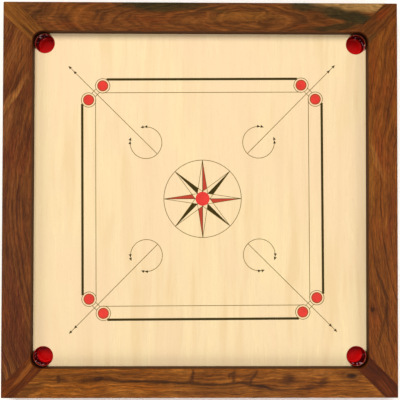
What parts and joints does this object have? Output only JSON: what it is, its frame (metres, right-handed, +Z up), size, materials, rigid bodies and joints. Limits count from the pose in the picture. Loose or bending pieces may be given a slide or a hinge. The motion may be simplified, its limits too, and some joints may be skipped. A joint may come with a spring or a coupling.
{
  "type": "carrom board",
  "caption": "Square carrom board: raised hardwood frame with diagonal corner blocks, plywood playing surface, moulded cup pockets at the corners, stiffening battens underneath.",
  "frame": {"origin": "middle of the frame's underside, the level that the board rests on", "axes": "+Z up, square to the playing surface; +Y towards the back rail, +X towards the right rail"},
  "size_m": [0.867, 0.867, 0.062],
  "materials": {
    "rail_wood": "sheesham, planed, sanded and satin lacquered",
    "block_wood": "sheesham, grain along the diagonal, satin lacquered",
    "tongue_wood": "sawn beech",
    "playing_ply": "birch plywood, sanded and polished",
    "cup_plastic": "clear red moulded plastic, glossy",
    "brace_wood": "planed pine, no finish",
    "screw_steel": "zinc plated",
    "black_ink": "screen-printed ink",
    "red_ink": "screen-printed ink"
  },
  "bodies": {
    "root": {"rail_front": "rail_wood", "rail_right": "rail_wood", "rail_back": "rail_wood", "rail_left": "rail_wood", "corner_block_front_left": "block_wood", "corner_block_front_right": "block_wood", "corner_block_back_left": "block_wood", "corner_block_back_right": "block_wood", "tongue_front_left_to_front": "tongue_wood", "tongue_front_left_to_left": "tongue_wood", "tongue_front_right_to_front": "tongue_wood", "tongue_front_right_to_right": "tongue_wood", "tongue_back_left_to_back": "tongue_wood", "tongue_back_left_to_left": "tongue_wood", "tongue_back_right_to_back": "tongue_wood", "tongue_back_right_to_right": "tongue_wood", "playing_surface": "playing_ply", "pocket_cup_front_left": "cup_plastic", "pocket_cup_front_right": "cup_plastic", "pocket_cup_back_left": "cup_plastic", "pocket_cup_back_right": "cup_plastic", "cleat_front": "brace_wood", "cleat_right": "brace_wood", "cleat_back": "brace_wood", "cleat_left": "brace_wood", "batten_front": "brace_wood", "batten_right": "brace_wood", "batten_back": "brace_wood", "batten_left": "brace_wood", "cleat_screw_front_1": "screw_steel", "cleat_screw_front_2": "screw_steel", "cleat_screw_right_1": "screw_steel", "cleat_screw_right_2": "screw_steel", "cleat_screw_back_1": "screw_steel", "cleat_screw_back_2": "screw_steel", "cleat_screw_left_1": "screw_steel", "cleat_screw_left_2": "screw_steel", "batten_screw_front_1": "screw_steel", "batten_screw_front_2": "screw_steel", "batten_screw_right_1": "screw_steel", "batten_screw_right_2": "screw_steel", "batten_screw_back_1": "screw_steel", "batten_screw_back_2": "screw_steel", "batten_screw_left_1": "screw_steel", "batten_screw_left_2": "screw_steel", "cup_screw_front_left_1": "screw_steel", "cup_screw_front_left_2": "screw_steel", "cup_screw_front_left_3": "screw_steel", "cup_screw_front_right_1": "screw_steel", "cup_screw_front_right_2": "screw_steel", "cup_screw_front_right_3": "screw_steel", "cup_screw_back_left_1": "screw_steel", "cup_screw_back_left_2": "screw_steel", "cup_screw_back_left_3": "screw_steel", "cup_screw_back_right_1": "screw_steel", "cup_screw_back_right_2": "screw_steel", "cup_screw_back_right_3": "screw_steel"}
  },
  "joints": []
}
